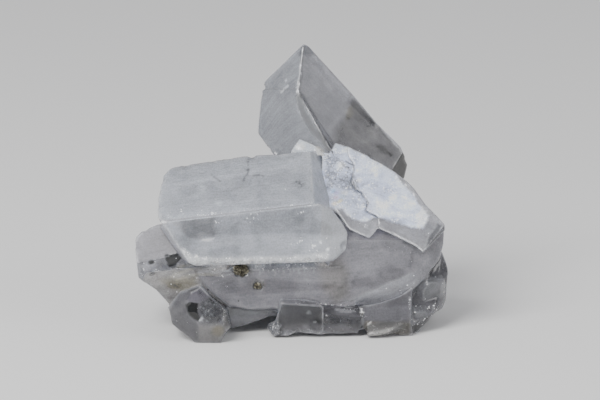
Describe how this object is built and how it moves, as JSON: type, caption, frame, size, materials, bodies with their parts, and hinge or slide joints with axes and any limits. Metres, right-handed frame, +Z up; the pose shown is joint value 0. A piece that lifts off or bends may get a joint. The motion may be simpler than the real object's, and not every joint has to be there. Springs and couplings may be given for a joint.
{
  "type": "barite with pyrite specimen",
  "caption": "Cluster of intergrown blocky barite crystals, clear to milky, with small nests of pyrite, resting on its own broken base.",
  "frame": {"origin": "centre of the cluster's footprint box, on the surface that it stands on", "axes": "+X along the cluster's width, towards the plates' end; +Y towards the back; +Z up"},
  "size_m": [0.0628, 0.0444, 0.0537],
  "materials": {
    "barite": "clear to milky colourless barite, with pearly white, smoky and faintly stained zones",
    "pyrite": "fine-grained dull brassy pyrite, tarnished olive"
  },
  "bodies": {
    "root": {"barite_cluster": "barite", "pyrite_nest": "pyrite", "pyrite_small_nest": "pyrite"}
  },
  "joints": []
}
